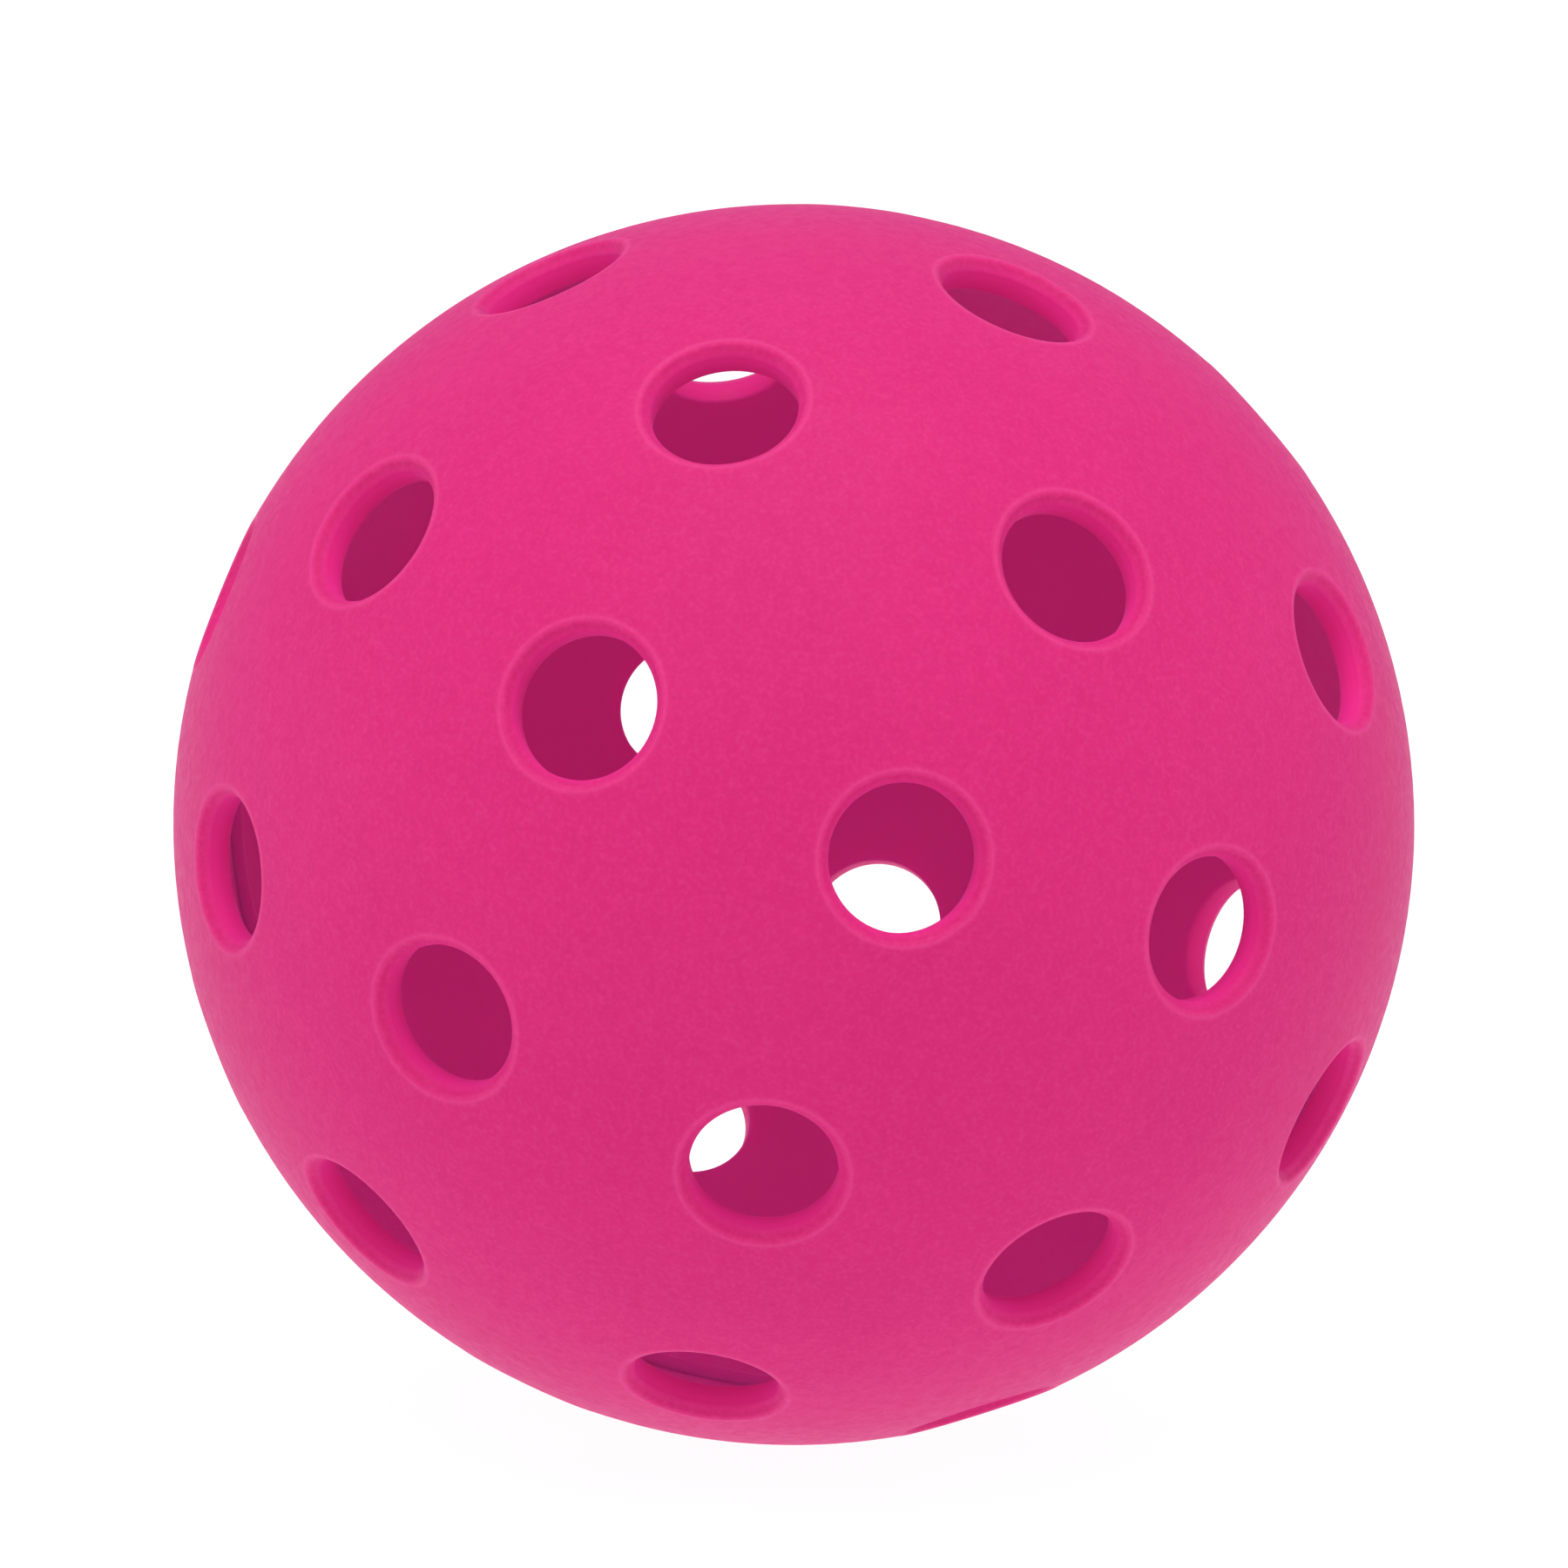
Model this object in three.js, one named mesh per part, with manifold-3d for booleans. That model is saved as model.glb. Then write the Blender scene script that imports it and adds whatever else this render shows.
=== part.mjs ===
// A hollow, perforated pickleball: two moulded half shells with a stepped joint, welded along the equator.
// Millimetres. The origin is the centre of the ball. The polar axis, along which each half leaves its mould,
// is Y: the front half is on the -Y side, the rear half on the +Y side, and the weld lies in the plane y = 0.
import * as THREE from "three";
import { mergeVertices } from "three/addons/utils/BufferGeometryUtils.js";
import Module from "manifold-3d";

const BALL_DIAMETER = 74;
const WALL = 2;
const HOLE_DIAMETER = 8.4; // at its throat, just inside the rounded mouth
const BORE_FLARE = 0.18; // how much wider the bore's radius is at its inner end
const MOUTH_ROUNDING = 0.8;

// Rows of holes in each half: angle from the pole, number of holes, azimuth of the first one from the row
// that is nearest to the pole, and how much nearer to the pole single holes of an uneven row are. Degrees.
const FRONT_ROWS = [
  { polar: 22.7, count: 4, start: 0 },
  { polar: 51.5, count: 8, start: 22.5 },
  { polar: 78.8, count: 8, start: 0, nearer: [0.8, 0, 0, 2.6, 2.6, 2.6, 2.6, 0] },
];
const REAR_ROWS = [
  { polar: 21.8, count: 4, start: 0 },
  { polar: 48.5, count: 8, start: 22.5 },
  { polar: 75, count: 8, start: 0 },
];
const FRONT_AZIMUTH = 22.5; // of the row nearest to the pole, from +X towards +Z
const REAR_TURN = -24.5; // how far the rear half is turned from the front half before welding
const REAR_LEAN = 1.1; // how far the rear half's pattern of holes leans off its pole, towards -X

// Stepped joint: a tongue on the front half reaches inside a lip on the rear half.
const TONGUE_LENGTH = 1.2;
const TONGUE_THICKNESS = 0.95;
const JOINT_CLEARANCE = 0.12; // radial, more than the facets of the two rims differ
const WELD_GAP = 0.3; // between the tongue's end and the shoulder that it faces
const BEAD_WIDTH = 1.5;
const BEAD_HEIGHT = 0.55;

const SHELL_SEGMENTS = 40;
const POLAR_STEPS = 10;
const HOLE_SEGMENTS = 16;
const ROUNDING_STEPS = 2;
const BEAD_STEPS = 5;

const OUTER_RADIUS = BALL_DIAMETER / 2;
const INNER_RADIUS = OUTER_RADIUS - WALL;
const HOLE_RADIUS = HOLE_DIAMETER / 2;
const TONGUE_RADIUS = INNER_RADIUS + TONGUE_THICKNESS;
const LIP_RADIUS = TONGUE_RADIUS + JOINT_CLEARANCE;
const SHOULDER = TONGUE_LENGTH + WELD_GAP;
const CUTTER_OVERRUN = 1.5;
const RIGHT_ANGLE = Math.PI / 2;
const POLE = new THREE.Vector3(0, 1, 0); // axis of a lathe, and of a hole cutter before it is aimed
const UP = new THREE.Vector3(0, 0, 1);

const SHELL_COLOUR = 0xe0387f;
const BEAD_COLOUR = 0xc22a68;
const PLASTIC_ROUGHNESS = 0.6;

const wasm = await Module();
wasm.setup();

function toSolid(geometry) {
  geometry.deleteAttribute("normal");
  geometry.deleteAttribute("uv");
  const merged = mergeVertices(geometry);
  return new wasm.Manifold(
    new wasm.Mesh({
      numProp: 3,
      vertProperties: merged.attributes.position.array,
      triVerts: new Uint32Array(merged.index.array),
    }),
  );
}

function toGeometry(solid) {
  const mesh = solid.getMesh();
  const geometry = new THREE.BufferGeometry();
  geometry.setAttribute("position", new THREE.BufferAttribute(mesh.vertProperties, 3));
  geometry.setIndex(new THREE.BufferAttribute(mesh.triVerts, 1));
  const flat = geometry.toNonIndexed();
  flat.computeVertexNormals();
  return flat;
}

function namedMesh(name, geometry, colour) {
  const material = new THREE.MeshStandardMaterial({ color: colour, roughness: PLASTIC_ROUGHNESS });
  const mesh = new THREE.Mesh(geometry, material);
  mesh.name = name;
  return mesh;
}

// Points on an arc about the origin, from one latitude to another, in radians from the equator.
function arc(radius, from, to, steps) {
  const points = [];
  for (let i = 0; i <= steps; i += 1) {
    const latitude = from + ((to - from) * i) / steps;
    points.push(new THREE.Vector2(radius * Math.cos(latitude), radius * Math.sin(latitude)));
  }
  return points;
}

// The latitude at which an arc of this radius reaches this height above the equator.
function latitudeAt(radius, height) {
  return Math.asin(height / radius);
}

function onAxis(point) {
  return new THREE.Vector2(0, point.y);
}

// Half shell on the -Y side, with the tongue that stands past the equator.
function frontProfile() {
  const outside = arc(OUTER_RADIUS, -RIGHT_ANGLE, 0, POLAR_STEPS);
  const inside = arc(INNER_RADIUS, latitudeAt(INNER_RADIUS, TONGUE_LENGTH), -RIGHT_ANGLE, POLAR_STEPS);
  outside[0] = onAxis(outside[0]);
  inside[POLAR_STEPS] = onAxis(inside[POLAR_STEPS]);
  const step = [new THREE.Vector2(TONGUE_RADIUS, 0), new THREE.Vector2(TONGUE_RADIUS, TONGUE_LENGTH)];
  return [...outside, ...step, ...inside];
}

// Half shell on the +Y side, with the lip that closes over the tongue.
function rearProfile() {
  const outside = arc(OUTER_RADIUS, 0, RIGHT_ANGLE, POLAR_STEPS);
  const inside = arc(INNER_RADIUS, RIGHT_ANGLE, latitudeAt(INNER_RADIUS, SHOULDER), POLAR_STEPS);
  outside[POLAR_STEPS] = onAxis(outside[POLAR_STEPS]);
  inside[0] = onAxis(inside[0]);
  const step = [new THREE.Vector2(LIP_RADIUS, SHOULDER), new THREE.Vector2(LIP_RADIUS, 0)];
  return [...inside, ...step, ...outside];
}

// Cutter for one hole, along +Y: it flares a little inwards, and its mouth is rounded out to meet the sphere.
function holeCutter() {
  const centreX = HOLE_RADIUS + MOUTH_ROUNDING;
  const centreY = Math.sqrt((OUTER_RADIUS - MOUTH_ROUNDING) ** 2 - centreX ** 2);
  const sphereAngle = Math.atan2(centreY, centreX);
  const openingRadius = HOLE_RADIUS + BORE_FLARE;
  const openingHeight = Math.sqrt(INNER_RADIUS ** 2 - openingRadius ** 2);
  const profile = [new THREE.Vector2(0, INNER_RADIUS - CUTTER_OVERRUN)];
  profile.push(new THREE.Vector2(openingRadius, INNER_RADIUS - CUTTER_OVERRUN));
  profile.push(new THREE.Vector2(openingRadius, openingHeight));
  for (let i = 0; i <= ROUNDING_STEPS; i += 1) {
    const angle = Math.PI + ((sphereAngle - Math.PI) * i) / ROUNDING_STEPS;
    const x = centreX + MOUTH_ROUNDING * Math.cos(angle);
    profile.push(new THREE.Vector2(x, centreY + MOUTH_ROUNDING * Math.sin(angle)));
  }
  const mouth = profile[profile.length - 1];
  profile.push(new THREE.Vector2(mouth.x, OUTER_RADIUS + CUTTER_OVERRUN));
  profile.push(new THREE.Vector2(0, OUTER_RADIUS + CUTTER_OVERRUN));
  return new THREE.LatheGeometry(profile, HOLE_SEGMENTS);
}

// Directions of all the holes of one half. side is -1 for the front half and +1 for the rear half, and lean
// is an angle in degrees towards -X for the rear half.
function holeDirections(rows, side, azimuth, lean) {
  const directions = [];
  for (const row of rows) {
    for (let k = 0; k < row.count; k += 1) {
      const nearer = row.nearer ? row.nearer[k] : 0;
      const polar = THREE.MathUtils.degToRad(row.polar - nearer);
      const turn = THREE.MathUtils.degToRad(azimuth + row.start + (360 * k) / row.count);
      const across = Math.sin(polar);
      const direction = new THREE.Vector3(across * Math.cos(turn), 0, across * Math.sin(turn));
      direction.y = side * Math.cos(polar);
      directions.push(direction.applyAxisAngle(UP, THREE.MathUtils.degToRad(lean)));
    }
  }
  return directions;
}

function perforated(profile, directions) {
  let shell = toSolid(new THREE.LatheGeometry(profile, SHELL_SEGMENTS));
  for (const direction of directions) {
    const aim = new THREE.Quaternion().setFromUnitVectors(POLE, direction);
    shell = shell.subtract(toSolid(holeCutter().applyQuaternion(aim)));
  }
  return toGeometry(shell);
}

// Ring of plastic squeezed out of the joint: a rib between tongue and shoulder, and a rounded bead inside.
function weldBead() {
  const middle = TONGUE_LENGTH + WELD_GAP / 2;
  const base = Math.sqrt(INNER_RADIUS ** 2 - (middle + BEAD_WIDTH / 2) ** 2) - JOINT_CLEARANCE;
  const profile = [];
  for (let i = 0; i <= BEAD_STEPS; i += 1) {
    const angle = (Math.PI * i) / BEAD_STEPS;
    const x = base - BEAD_HEIGHT * Math.sin(angle);
    profile.push(new THREE.Vector2(x, middle - (BEAD_WIDTH / 2) * Math.cos(angle)));
  }
  profile.push(new THREE.Vector2(base, SHOULDER));
  profile.push(new THREE.Vector2(TONGUE_RADIUS, SHOULDER));
  profile.push(new THREE.Vector2(TONGUE_RADIUS, TONGUE_LENGTH));
  profile.push(new THREE.Vector2(base, TONGUE_LENGTH));
  profile.push(profile[0].clone());
  return new THREE.LatheGeometry(profile.reverse(), SHELL_SEGMENTS);
}

const ball = new THREE.Group();
const frontHoles = holeDirections(FRONT_ROWS, -1, FRONT_AZIMUTH, 0);
const rearHoles = holeDirections(REAR_ROWS, 1, FRONT_AZIMUTH + REAR_TURN, REAR_LEAN);
const front = perforated(frontProfile(), frontHoles);
const rear = perforated(rearProfile(), rearHoles);
ball.add(namedMesh("front_half_shell", front, SHELL_COLOUR));
ball.add(namedMesh("rear_half_shell", rear, SHELL_COLOUR));
ball.add(namedMesh("weld_bead", weldBead(), BEAD_COLOUR));

export default ball;
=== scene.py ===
"""Looks of a hollow, perforated pickleball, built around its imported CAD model.

Metres, +Z up, origin at the centre of the ball. Y is the polar axis: the front half is on the -Y side,
the rear half on the +Y side, and the weld lies in the plane y = 0.
"""

import math

import bpy
import numpy as np
from mathutils import Matrix, Vector
from mathutils.geometry import delaunay_2d_cdt


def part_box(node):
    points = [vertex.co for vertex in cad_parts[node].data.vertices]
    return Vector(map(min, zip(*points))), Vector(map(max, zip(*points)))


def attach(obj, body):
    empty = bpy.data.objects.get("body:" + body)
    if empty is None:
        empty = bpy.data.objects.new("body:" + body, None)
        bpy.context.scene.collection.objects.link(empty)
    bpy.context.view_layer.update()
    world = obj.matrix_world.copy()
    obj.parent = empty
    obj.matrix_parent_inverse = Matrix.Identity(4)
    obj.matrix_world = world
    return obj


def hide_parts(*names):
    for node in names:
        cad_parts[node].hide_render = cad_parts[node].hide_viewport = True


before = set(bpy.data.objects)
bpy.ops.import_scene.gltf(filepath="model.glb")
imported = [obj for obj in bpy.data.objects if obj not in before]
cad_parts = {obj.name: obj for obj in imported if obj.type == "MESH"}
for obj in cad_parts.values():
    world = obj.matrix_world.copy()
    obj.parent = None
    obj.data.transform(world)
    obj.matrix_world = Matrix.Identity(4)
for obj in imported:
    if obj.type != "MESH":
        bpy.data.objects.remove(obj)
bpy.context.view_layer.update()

MM = 0.001

# The ball. Its radius comes from the frame; the rest repeats the design's driving dimensions.
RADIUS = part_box("front_half_shell")[1].x
WALL = 2.0 * MM
INNER_RADIUS = RADIUS - WALL
HOLE_RADIUS = 4.2 * MM

# Rows of holes, in degrees: angle from the pole, number of holes, azimuth of the first one within its
# half's pattern, and how much nearer to the pole each hole is. The row at the front's rim is uneven.
UNEVEN = (0.8, 0.0, 0.0, 2.6, 2.6, 2.6, 2.6, 0.0)
FRONT_ROWS = ((22.7, 4, 0.0, (0.0,) * 4), (51.5, 8, 22.5, (0.0,) * 8), (78.8, 8, 0.0, UNEVEN))
REAR_ROWS = ((21.8, 4, 0.0, (0.0,) * 4), (48.5, 8, 22.5, (0.0,) * 8), (75.0, 8, 0.0, (0.0,) * 8))
FRONT_AZIMUTH = 22.5  # of the front half's pattern around the polar axis, in degrees
REAR_TURN = -24.5  # of the rear half's pattern against the front half's
REAR_LEAN = 1.1  # of the rear pattern off its pole, towards -X

# A hole from outside in: a faint lip, a rounded edge, a cone to the throat, the bore, an inner edge.
MOUTH_RADIUS = 4.96 * MM
MOUTH_ROUNDING = 0.42 * MM
CONE_ANGLE = math.radians(40)  # between the cone's wall and the hole's axis
LIP_HEIGHT = 0.02 * MM
LIP_WIDTH = 0.16 * MM
HIGHLIGHT_RING_WIDTH = 0.15 * MM  # of the painted highlight, a pale ring around a mouth
MOUTH_PAINTED_HIGHLIGHT = 0.6  # strength of that painted highlight
INNER_PAINTED_HIGHLIGHT = 0.5  # strength of the painted highlight on the inner edge
THROAT_EDGE = 0.09 * MM
BORE_FLARE = 0.04 * MM  # how much wider the bore's radius is at its inner end
INNER_ROUNDING = 0.2 * MM

# Stepped joint and weld.
TONGUE_LENGTH = 1.2 * MM
TONGUE_RADIUS = INNER_RADIUS + 0.95 * MM
LIP_RADIUS = TONGUE_RADIUS + 0.12 * MM
SHOULDER = TONGUE_LENGTH + 0.3 * MM
SEAM_WIDTH = 0.06 * MM  # half the width of the hairline groove that the weld leaves outside
SEAM_DEPTH = 0.012 * MM
BEAD_WIDTH = 2.2 * MM
BEAD_HEIGHT = 0.5 * MM
BEAD_GAP = 0.01 * MM  # between the bead's underside and the wall's inner face
BEAD_STEPS = 14
BEAD_WAVES = ((5, 0.08, 0.7), (17, 0.06, 0.0), (41, 0.05, 2.1))  # waves round it, share of height, phase

# Mesh fineness.
HOLE_POINTS = 72
RIM_POINTS = 540
BEAD_POINTS = 720
POINT_SPACING = 1.1 * MM
COLLAR = (0.10, 0.22, 0.4, 0.7, 1.1)  # rings of points around each mouth, in mm from it
COLLAR_CLEARANCE = 1.7 * MM
RIM_STEPS = (0.25, 0.6, 1.1)  # rings of points along each rim, in mm from it
RIM_CLEARANCE = 1.8 * MM
SHARP_ANGLE = math.radians(45)
ROUNDING_STEPS = 5
CONE_SHARES = (0.2, 0.6)  # rings of points down the cone, as shares of its length
INNER_STEPS = 4
MERGE_DISTANCE = 1e-9  # below this, the triangulation takes two points for one
GOLDEN_ANGLE = math.pi * (3 - math.sqrt(5))


# ---------------------------------------------------------------- shells


def hole_axes(rows, side, azimuth, lean):
    """Unit vectors from the centre of the ball through each hole of one half."""
    axes = []
    for polar, count, start, nearer in rows:
        for k in range(count):
            p = math.radians(polar - nearer[k])
            a = math.radians(azimuth + start + 360 * k / count)
            across = math.sin(p)
            axes.append((across * math.cos(a), side * math.cos(p), across * math.sin(a)))
    tilt = np.array(Matrix.Rotation(math.radians(lean), 3, "Z"))
    return np.array(axes) @ tilt.T


def across_axis(axis):
    """Two unit vectors at right angles to a hole's axis, the first of them towards the rim."""
    pole = np.array((0.0, 1.0, 0.0))
    u = pole - axis * (pole @ axis)
    u /= np.linalg.norm(u)
    return u, np.cross(axis, u)


def ring(axis, radius, height, count=HOLE_POINTS):
    """Points around a hole's axis, at a distance from it and at a height along it."""
    u, v = across_axis(axis)
    t = 2 * math.pi * np.arange(count) / count
    return height * axis + radius * (np.outer(np.cos(t), u) + np.outer(np.sin(t), v))


def ring_on_sphere(axis, radius, sphere):
    return ring(axis, radius, math.sqrt(sphere**2 - radius**2))


def spread_points(sphere, side, axes, mouth, rim_height):
    """Evenly spread points on one half of a sphere, clear of its holes' collars and of its rim."""
    count = int(2 * math.pi * sphere**2 / POINT_SPACING**2)
    i = np.arange(count) + 0.5
    y = 1 - i / count
    r = np.sqrt(1 - y * y)
    a = i * GOLDEN_ANGLE
    points = sphere * np.column_stack((r * np.cos(a), side * y, r * np.sin(a)))
    along = points @ axes.T
    off_axis = np.sqrt(np.maximum(sphere**2 - along**2, 0))
    blocked = ((off_axis < mouth + COLLAR_CLEARANCE) & (along > 0)).any(1)
    return points[~blocked & (side * points[:, 1] > rim_height + RIM_CLEARANCE)]


def rim_ring(radius, height):
    """Points around the polar axis."""
    t = 2 * math.pi * np.arange(RIM_POINTS) / RIM_POINTS
    return np.column_stack((radius * np.cos(t), np.full(RIM_POINTS, height), radius * np.sin(t)))


def flattened(points, side):
    """Stereographic projection from the far pole, which keeps circles round and triangles well shaped."""
    unit = points / np.linalg.norm(points, axis=1)[:, None]
    return unit[:, (0, 2)] / (1 + side * unit[:, 1])[:, None]


def perforated_cap(sphere, side, axes, mouth, rim_height):
    """Triangulates one half of a sphere around its holes. The rim's ring comes first in the points.
    Returns points, triangles, and where each hole's ring starts."""
    heights = [rim_height] + [rim_height + side * step * MM for step in RIM_STEPS]
    groups = [rim_ring(math.sqrt(sphere**2 - y**2), y) for y in heights]
    starts, total = [], RIM_POINTS * len(groups)
    for axis in axes:
        starts.append(total)
        rings = [ring_on_sphere(axis, mouth, sphere)]
        rings += [ring_on_sphere(axis, mouth + step * MM, sphere) for step in COLLAR]
        groups += rings
        total += HOLE_POINTS * len(rings)
    groups.append(spread_points(sphere, side, axes, mouth, side * rim_height))
    points = np.concatenate(groups)
    loops = [(0, RIM_POINTS)] + [(start, HOLE_POINTS) for start in starts]
    edges = [(s + k, s + (k + 1) % n) for s, n in loops for k in range(n)]
    flat = [Vector(p) for p in flattened(points, side)]
    made = delaunay_2d_cdt(flat, edges, [], 0, MERGE_DISTANCE, True)
    origin = [ids[0] for ids in made[3]]
    triangles = np.array([[origin[i] for i in face] for face in made[2]])
    middle = points[triangles].mean(1)
    middle *= sphere / np.linalg.norm(middle, axis=1)[:, None]
    along = middle @ axes.T
    off_axis = np.sqrt(np.maximum(sphere**2 - along**2, 0))
    in_hole = ((off_axis < mouth) & (along > 0)).any(1)
    return points, triangles[~in_hole], starts


def lip_height(off_axis, mouth):
    """Height of the faint raised lip round a mouth."""
    return LIP_HEIGHT * np.exp(-(((off_axis - mouth) / LIP_WIDTH) ** 2))


def hole_profile():
    """Radius and height along the axis, from the outer mouth down to the inner opening."""
    start = math.acos(MOUTH_RADIUS / RADIUS)
    turn = math.pi - CONE_ANGLE - start
    centre_r = MOUTH_RADIUS - MOUTH_ROUNDING * math.cos(start)
    centre_h = math.sqrt(RADIUS**2 - MOUTH_RADIUS**2) - MOUTH_ROUNDING * math.sin(start)
    profile = []
    for i in range(ROUNDING_STEPS + 1):
        a = start + turn * i / ROUNDING_STEPS
        rise = MOUTH_ROUNDING * math.sin(a)
        profile.append((centre_r + MOUTH_ROUNDING * math.cos(a), centre_h + rise))
    edge_r, edge_h = profile[-1]
    throat_h = edge_h - (edge_r - HOLE_RADIUS) / math.tan(CONE_ANGLE)
    for share in CONE_SHARES:
        cone_r = edge_r + (HOLE_RADIUS - edge_r) * share
        profile.append((cone_r, edge_h + (throat_h - edge_h) * share))
    cone_r = HOLE_RADIUS + THROAT_EDGE * math.sin(CONE_ANGLE)
    profile.append((cone_r, throat_h + THROAT_EDGE * math.cos(CONE_ANGLE)))
    profile.append((HOLE_RADIUS, throat_h - THROAT_EDGE))
    inner_r = HOLE_RADIUS + BORE_FLARE + INNER_ROUNDING
    inner_h = math.sqrt((INNER_RADIUS + INNER_ROUNDING) ** 2 - inner_r**2)
    bottom = math.atan2(inner_h, inner_r)
    for i in range(INNER_STEPS + 1):
        a = math.pi + bottom * i / INNER_STEPS
        rise = INNER_ROUNDING * math.sin(a)
        profile.append((inner_r + INNER_ROUNDING * math.cos(a), inner_h + rise))
    return profile


def strip(first, second, count, flip):
    """Quads between two closed rings of points, given by where each ring starts."""
    quads = []
    for k in range(count):
        n = (k + 1) % count
        quad = (first + k, first + n, second + n, second + k)
        quads.append(quad[::-1] if flip else quad)
    return quads


def edge_painted_highlight(step, steps):
    """How strongly a ring of the hole's profile shows the painted highlight, a pale line at its mouth and
    inner end.
    """
    if step > steps - INNER_STEPS:
        return INNER_PAINTED_HIGHLIGHT
    return MOUTH_PAINTED_HIGHLIGHT * max(0.0, 1 - step / ROUNDING_STEPS) ** 2


def bore_depth(height):
    """0 at the ball's outer surface, growing to 1 at the inner one."""
    top = math.sqrt(RADIUS**2 - HOLE_RADIUS**2)
    bottom = math.sqrt(INNER_RADIUS**2 - HOLE_RADIUS**2)
    return min(1.0, max(0.0, (top - height) / (top - bottom)))


def half_shell(name, axes, side, joint):
    """One moulded half: two perforated caps, joined through each hole and round the stepped rim.
    joint is the profile of the rim, from the outside in, as (radius, y)."""
    profile = hole_profile()
    mouth, opening = profile[0][0], profile[-1][0]
    outer, outer_faces, outer_starts = perforated_cap(RADIUS, side, axes, mouth, joint[0][1])
    inner, inner_faces, inner_starts = perforated_cap(INNER_RADIUS, side, axes, opening, joint[-1][1])
    along = outer @ axes.T
    nearest = np.sqrt(np.maximum(RADIUS**2 - along.max(1) ** 2, 0))
    # Painted highlight: pale colour in a thin ring round each mouth, standing in for the light that the edge
    # catches.
    edge = MOUTH_PAINTED_HIGHLIGHT * np.exp(-(((nearest - mouth) / HIGHLIGHT_RING_WIDTH) ** 2))
    outer = outer * (1 + lip_height(nearest, mouth) / RADIUS)[:, None]
    # The projection mirrors the +Y half, so its triangles already face the other way.
    faces = [tuple(f) if side < 0 else tuple(f[::-1]) for f in outer_faces]
    base = len(outer)
    faces += [tuple(base + f[::-1]) if side < 0 else tuple(base + f) for f in inner_faces]
    points = [outer, inner]
    edges = [edge, np.zeros(len(inner))]
    depths = [np.zeros(base), np.ones(len(inner))]
    total = base + len(inner)
    for axis, outer_start, inner_start in zip(axes, outer_starts, inner_starts):
        last = outer_start
        for step, (radius, height) in enumerate(profile[1:-1], 1):
            points.append(ring(axis, radius, height))
            # Painted highlight down the mouth's rounding and on the inner edge.
            edges.append(np.full(HOLE_POINTS, edge_painted_highlight(step, len(profile) - 1)))
            depths.append(np.full(HOLE_POINTS, bore_depth(height)))
            faces += strip(last, total, HOLE_POINTS, side > 0)
            last = total
            total += HOLE_POINTS
        faces += strip(last, base + inner_start, HOLE_POINTS, side > 0)
    last = 0
    for radius, y in joint[1:-1]:
        points.append(rim_ring(radius, y))
        edges.append(np.zeros(RIM_POINTS))
        depths.append(np.ones(RIM_POINTS))
        faces += strip(last, total, RIM_POINTS, side > 0)
        last = total
        total += RIM_POINTS
    faces += strip(last, base, RIM_POINTS, side > 0)
    painted = {"edge": np.concatenate(edges), "depth": np.concatenate(depths)}
    return mesh_object(name, np.concatenate(points), faces, painted)


def mesh_object(name, points, faces, painted):
    """Object from points and faces. painted holds one number for each point, by attribute name."""
    mesh = bpy.data.meshes.new(name)
    mesh.from_pydata(points.tolist(), [], faces)
    for key, values in painted.items():
        attribute = mesh.attributes.new(key, "FLOAT", "POINT")
        attribute.data.foreach_set("value", values.astype(np.float32))
    mesh.update()
    mesh.shade_smooth()
    mesh.set_sharp_from_angle(angle=SHARP_ANGLE)
    obj = bpy.data.objects.new(name, mesh)
    bpy.context.scene.collection.objects.link(obj)
    return obj


def front_joint():
    """Rim of the front half: hairline groove, flat rim, then the tongue that stands past the seam."""
    return [
        (RADIUS, -SEAM_WIDTH),
        (RADIUS - SEAM_DEPTH, 0.0),
        (TONGUE_RADIUS, 0.0),
        (TONGUE_RADIUS, TONGUE_LENGTH),
        (math.sqrt(INNER_RADIUS**2 - TONGUE_LENGTH**2), TONGUE_LENGTH),
    ]


def rear_joint():
    """Rim of the rear half: hairline groove, flat rim of the lip over the tongue, then the shoulder."""
    return [
        (RADIUS, SEAM_WIDTH),
        (RADIUS - SEAM_DEPTH, 0.0),
        (LIP_RADIUS, 0.0),
        (LIP_RADIUS, SHOULDER),
        (math.sqrt(INNER_RADIUS**2 - SHOULDER**2), SHOULDER),
    ]


def inside_wall(y):
    """Radius of the bead's underside at this y: the wall's inner face, less a fine gap."""
    return math.sqrt(INNER_RADIUS**2 - y**2) - BEAD_GAP


def weld_bead():
    """Ring of plastic squeezed out and set inside the seam, a little uneven as a real weld is."""
    middle = (TONGUE_LENGTH + SHOULDER) / 2
    half = BEAD_WIDTH / 2
    # Each corner of the section is its radius before the bump, its y, and its share of the bump's height.
    section = [(TONGUE_RADIUS, SHOULDER, 0.0), (TONGUE_RADIUS, TONGUE_LENGTH, 0.0)]
    section.append((inside_wall(TONGUE_LENGTH), TONGUE_LENGTH, 0.0))
    for i in range(BEAD_STEPS + 1):
        y = middle - half + BEAD_WIDTH * i / BEAD_STEPS
        section.append((inside_wall(y), y, (1 - math.cos(2 * math.pi * i / BEAD_STEPS)) / 2))
    section.append((inside_wall(SHOULDER), SHOULDER, 0.0))
    points, faces = [], []
    n = len(section)
    for k in range(BEAD_POINTS):
        t = 2 * math.pi * k / BEAD_POINTS
        swell = sum(share * math.sin(waves * t + phase) for waves, share, phase in BEAD_WAVES)
        height = BEAD_HEIGHT * (1 + swell)
        for r, y, bump in section:
            radius = r - height * bump
            points.append((radius * math.cos(t), y, radius * math.sin(t)))
        here, after = k * n, ((k + 1) % BEAD_POINTS) * n
        for j in range(n):
            j2 = (j + 1) % n
            faces.append((here + j, here + j2, after + j2, after + j))
    # Depth 1 all over, so the bead takes the inside's painted-light colour.
    return mesh_object("weld_bead_ring", np.array(points), faces, {"depth": np.ones(len(points))})


# ---------------------------------------------------------------- materials


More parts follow.
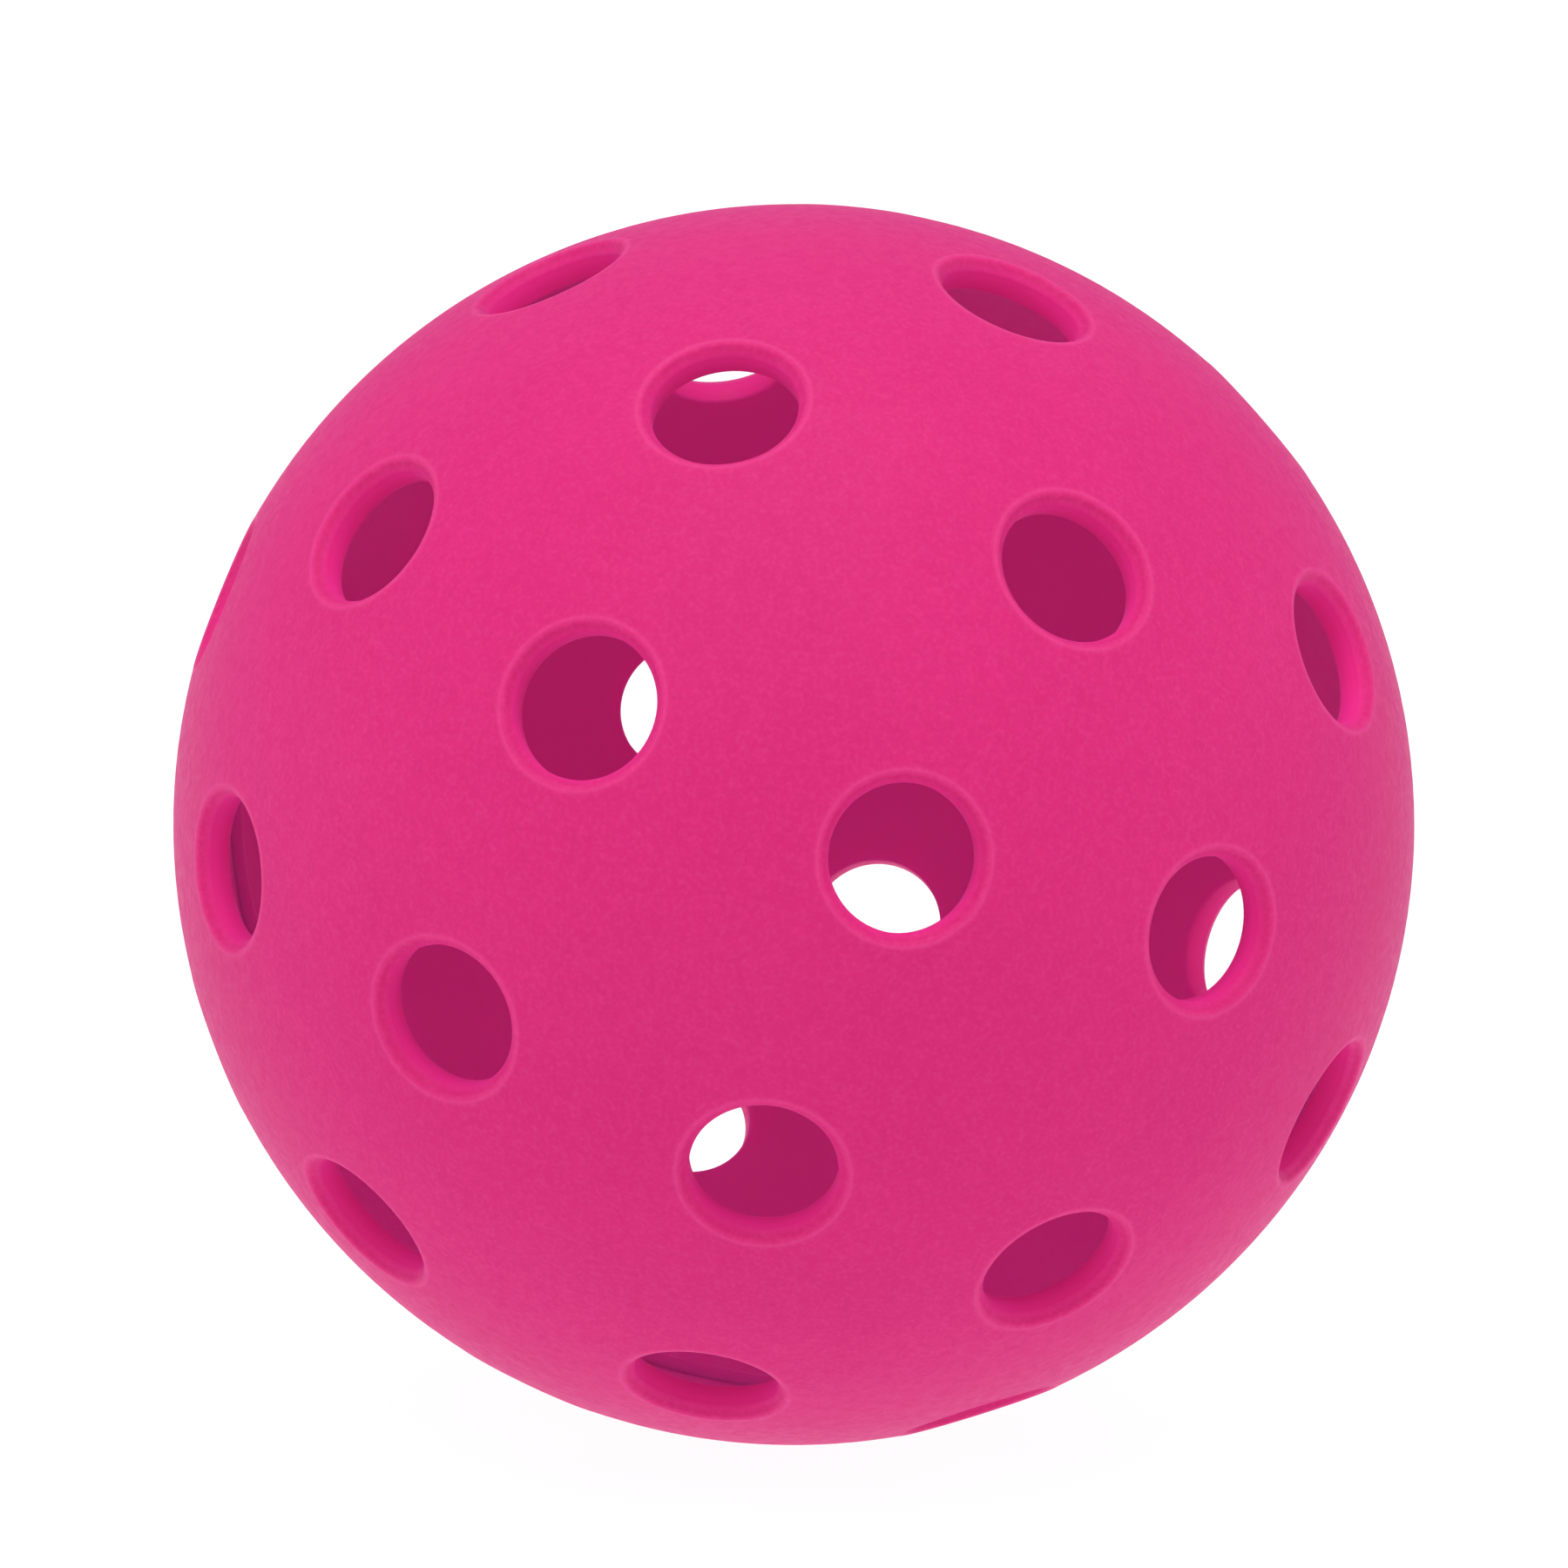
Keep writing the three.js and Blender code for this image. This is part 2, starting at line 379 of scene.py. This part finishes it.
class Nodes:
    """A few short calls for building a node tree."""

    def __init__(self, name):
        self.material = bpy.data.materials.new(name)
        self.material.use_nodes = True
        self.tree = self.material.node_tree
        self.tree.nodes.clear()

    def add(self, kind, **settings):
        node = self.tree.nodes.new(kind)
        for key, value in settings.items():
            setattr(node, key, value)
        return node

    def link(self, source, target):
        self.tree.links.new(source, target)

    def noise(self, coordinates, size, detail, rough=0.5):
        """Noise with features of about this size, in metres."""
        node = self.add("ShaderNodeTexNoise")
        node.inputs["Scale"].default_value = 1 / size
        node.inputs["Detail"].default_value = detail
        node.inputs["Roughness"].default_value = rough
        self.link(coordinates, node.inputs["Vector"])
        return node.outputs["Fac"]

    def ramp(self, value, low, high, to_low=0.0, to_high=1.0):
        node = self.add("ShaderNodeMapRange")
        node.inputs["From Min"].default_value = low
        node.inputs["From Max"].default_value = high
        node.inputs["To Min"].default_value = to_low
        node.inputs["To Max"].default_value = to_high
        self.link(value, node.inputs["Value"])
        return node.outputs["Result"]

    def mix(self, factor, a, b):
        """Mixes two colours, each a socket or four numbers."""
        node = self.add("ShaderNodeMix", data_type="RGBA")
        self.link(factor, node.inputs["Factor"])
        for name, value in (("A", a), ("B", b)):
            socket = next(s for s in node.inputs if s.name == name and s.type == "RGBA")
            if isinstance(value, tuple):
                socket.default_value = value
            else:
                self.link(value, socket)
        return next(s for s in node.outputs if s.type == "RGBA")


PINK = (0.70, 0.027, 0.206, 1.0)
PINK_DEEP = (0.62, 0.018, 0.170, 1.0)
# Pale pink: for the random speckle, and for the painted highlight on the hole edges.
PINK_SPECKLE_AND_HIGHLIGHT = (0.78, 0.085, 0.30, 1.0)
# Bore and inside colours: brighter copies of the pink, painted light for the light that bounces about inside
# the ball and passes through its wall.
PINK_BORE_PAINTED_LIGHT = (0.86, 0.034, 0.31, 1.0)
PINK_INSIDE_PAINTED_LIGHT = (0.945, 0.098, 0.545, 1.0)
WHITE = (1.0, 1.0, 1.0, 1.0)
FLOOR_GREY = (0.12, 0.12, 0.12, 1.0)

# Pigment: size of the pattern, and the largest share of the second colour that it mixes in.
CLOUDS = (13 * MM, 0.35)
MOTTLE = (0.8 * MM, 0.4)
SPECKLE = (0.3 * MM, 0.22)
EDGE_HIGHLIGHT_SHARE = 0.6  # of the pale colour, painted on an edge as a highlight
BORE_LIGHT_BLEND = (0.15, 0.5)  # depths between which the bore's brighter painted-light colour comes in
INSIDE_LIGHT_BLEND = (0.93, 1.0)  # depths between which the inside's brighter, bluer painted-light colour comes in

# Surface: size of the pattern, its height, and the strength of its bump.
GRAIN = (0.22 * MM, 0.03 * MM, 0.22)
UNDULATION = (2.6 * MM, 0.04 * MM, 0.3)
SMOOTHER = 0.05  # how far the mottle takes the roughness down and up
ROUGHER = 0.07
PLASTIC_IOR = 1.5
PLASTIC_GLOSS = 0.07
SHELL_ROUGHNESS = 0.5
WELD_ROUGHNESS = 0.35
SUBSURFACE_SHARE = 0.5
SUBSURFACE_COLOURS = (1.0, 0.3, 0.6)  # how far red, green and blue travel, against the depth
SUBSURFACE_DEPTH = 1.0 * MM


def bump(nodes, height, settings):
    """Bump node for a height map, with the pattern's height and strength."""
    node = nodes.add("ShaderNodeBump")
    node.inputs["Distance"].default_value = settings[1]
    node.inputs["Strength"].default_value = settings[2]
    nodes.link(height, node.inputs["Height"])
    return node


def moulded_plastic(name, base, deep, pale, roughness, paints_edge_highlight):
    """Matt polyethylene: mottled pigment, moulded grain, a painted highlight on hole edges, painted-light
    pinks in the bores and inside, light passing under the skin.
    """
    n = Nodes(name)
    place = n.add("ShaderNodeTexCoord").outputs["Object"]
    clouds = n.ramp(n.noise(place, CLOUDS[0], 2.0), 0.3, 0.7, 0.0, CLOUDS[1])
    mottle = n.ramp(n.noise(place, MOTTLE[0], 3.0, 0.7), 0.35, 0.65)
    speckle = n.ramp(n.noise(place, SPECKLE[0], 2.0), 0.45, 0.75, 0.0, SPECKLE[1])
    colour = n.mix(clouds, base, deep)
    colour = n.mix(n.ramp(mottle, 0, 1, 0.0, MOTTLE[1]), colour, deep)
    colour = n.mix(speckle, colour, pale)
    if paints_edge_highlight:
        # Painted highlight on the hole edges, read from the edge attribute.
        edge = n.add("ShaderNodeAttribute", attribute_name="edge").outputs["Fac"]
        colour = n.mix(n.ramp(edge, 0, 1, 0.0, EDGE_HIGHLIGHT_SHARE), colour, pale)
    depth = n.add("ShaderNodeAttribute", attribute_name="depth").outputs["Fac"]
    # Painted light: the bores and the inside take brighter pinks by depth into the wall.
    colour = n.mix(n.ramp(depth, *BORE_LIGHT_BLEND), colour, PINK_BORE_PAINTED_LIGHT)
    colour = n.mix(n.ramp(depth, *INSIDE_LIGHT_BLEND), colour, PINK_INSIDE_PAINTED_LIGHT)
    shader = n.add("ShaderNodeBsdfPrincipled")
    n.link(colour, shader.inputs["Base Color"])
    uneven = n.ramp(mottle, 0, 1, roughness - SMOOTHER, roughness + ROUGHER)
    n.link(uneven, shader.inputs["Roughness"])
    fine = bump(n, n.noise(place, GRAIN[0], 3.0, 0.65), GRAIN)
    broad = bump(n, n.noise(place, UNDULATION[0], 1.0), UNDULATION)
    n.link(fine.outputs["Normal"], broad.inputs["Normal"])
    n.link(broad.outputs["Normal"], shader.inputs["Normal"])
    shader.inputs["IOR"].default_value = PLASTIC_IOR
    shader.inputs["Specular IOR Level"].default_value = PLASTIC_GLOSS
    shader.inputs["Subsurface Weight"].default_value = SUBSURFACE_SHARE
    shader.inputs["Subsurface Radius"].default_value = SUBSURFACE_COLOURS
    shader.inputs["Subsurface Scale"].default_value = SUBSURFACE_DEPTH
    out = n.add("ShaderNodeOutputMaterial")
    n.link(shader.outputs["BSDF"], out.inputs["Surface"])
    return n.material


FLOOR_ROUGHNESS = 0.8
FLOOR_GLOSS = 0.2
FLOOR_GLOW = 0.95


def floor_material():
    """White that mostly glows by itself, so the ball's shadow on it stays faint."""
    n = Nodes("pale_floor")
    shader = n.add("ShaderNodeBsdfPrincipled")
    shader.inputs["Base Color"].default_value = FLOOR_GREY
    shader.inputs["Roughness"].default_value = FLOOR_ROUGHNESS
    shader.inputs["Specular IOR Level"].default_value = FLOOR_GLOSS
    shader.inputs["Emission Color"].default_value = WHITE
    shader.inputs["Emission Strength"].default_value = FLOOR_GLOW
    out = n.add("ShaderNodeOutputMaterial")
    n.link(shader.outputs["BSDF"], out.inputs["Surface"])
    return n.material


# ---------------------------------------------------------------- stage


FLOOR_SIZE = 12.0


def make_floor():
    mesh = bpy.data.meshes.new("floor")
    h = FLOOR_SIZE / 2
    z = -RADIUS
    mesh.from_pydata([(-h, -h, z), (h, -h, z), (h, h, z), (-h, h, z)], [], [(0, 1, 2, 3)])
    mesh.materials.append(floor_material())
    floor = bpy.data.objects.new("floor", mesh)
    bpy.context.scene.collection.objects.link(floor)


def direction_from(azimuth, elevation):
    """Unit vector out from the ball. Azimuth 0 is the -Y side, and it grows towards +X."""
    a, e = math.radians(azimuth), math.radians(elevation)
    return Vector((math.sin(a) * math.cos(e), -math.cos(a) * math.cos(e), math.sin(e)))


WORLD_STRENGTH = 0.49
LIGHT_DISTANCE = 0.9
LIGHT_SIZE = 0.6
LIGHTS = (  # azimuth, elevation, power in watts
    ("key_above", 8, 78, 3.3),
    ("fill_front", 0, 46, 2.0),
    ("fill_left", -80, 5, 1.2),
    ("fill_right", 95, 20, 1.0),
)


def area_light(name, azimuth, elevation, power):
    """Round white light that faces the ball."""
    light = bpy.data.lights.new(name, "AREA")
    light.shape = "DISK"
    light.size = LIGHT_SIZE
    light.energy = power
    obj = bpy.data.objects.new(name, light)
    out = direction_from(azimuth, elevation)
    obj.location = out * LIGHT_DISTANCE
    obj.rotation_euler = out.to_track_quat("Z", "Y").to_euler()
    bpy.context.scene.collection.objects.link(obj)


def make_lights():
    world = bpy.data.worlds.new("studio")
    world.use_nodes = True
    background = world.node_tree.nodes["Background"]
    background.inputs["Color"].default_value = WHITE
    background.inputs["Strength"].default_value = WORLD_STRENGTH
    bpy.context.scene.world = world
    for name, azimuth, elevation, power in LIGHTS:
        area_light(name, azimuth, elevation, power)


# Where the camera stands, from the ball's centre, and how it is turned. Angles in degrees.
CAMERA_AZIMUTH = 11.29
CAMERA_ELEVATION = 11.43
CAMERA_ROLL = 1.21
CAMERA_DISTANCE = 13.45 * RADIUS
CAMERA_LENS = 191.1  # focal length in mm, as the sensor's width is
CAMERA_SENSOR = 36.0
CAMERA_NEAR = 0.01
CAMERA_FAR = 50.0
AIM_LEFT = 0.067  # how far the view's middle lies left of and above the ball's centre
AIM_UP = 0.278


def make_camera():
    data = bpy.data.cameras.new("camera")
    data.lens = CAMERA_LENS
    data.sensor_width = CAMERA_SENSOR
    data.clip_start = CAMERA_NEAR
    data.clip_end = CAMERA_FAR
    camera = bpy.data.objects.new("camera", data)
    out = direction_from(CAMERA_AZIMUTH, CAMERA_ELEVATION)
    level = out.to_track_quat("Z", "Y").to_matrix()
    roll = Matrix.Rotation(math.radians(CAMERA_ROLL), 3, "Z")
    aim = Matrix.Rotation(math.radians(AIM_LEFT), 3, "Y")
    aim = aim @ Matrix.Rotation(math.radians(AIM_UP), 3, "X")
    camera.matrix_world = Matrix.Translation(out * CAMERA_DISTANCE) @ (level @ roll @ aim).to_4x4()
    bpy.context.scene.collection.objects.link(camera)
    bpy.context.scene.camera = camera


def make_ball():
    shell = moulded_plastic("pink_shell_plastic", PINK, PINK_DEEP, PINK_SPECKLE_AND_HIGHLIGHT, SHELL_ROUGHNESS, True)
    weld = moulded_plastic("pink_weld_plastic", PINK_DEEP, PINK_DEEP, PINK, WELD_ROUGHNESS, False)
    front_holes = hole_axes(FRONT_ROWS, -1, FRONT_AZIMUTH, 0.0)
    rear_holes = hole_axes(REAR_ROWS, 1, FRONT_AZIMUTH + REAR_TURN, REAR_LEAN)
    front = half_shell("front_shell", front_holes, -1, front_joint())
    rear = half_shell("rear_shell", rear_holes, 1, rear_joint())
    bead = weld_bead()
    for piece, node, material, slot in (
        (front, "front_half_shell", shell, "shell_plastic"),
        (rear, "rear_half_shell", shell, "shell_plastic"),
        (bead, "weld_bead", weld, "weld_plastic"),
    ):
        piece.data.materials.append(material)
        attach(piece, "root")
        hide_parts(node)


make_camera()
make_ball()
make_floor()
make_lights()
bpy.context.scene.view_settings.view_transform = "Standard"
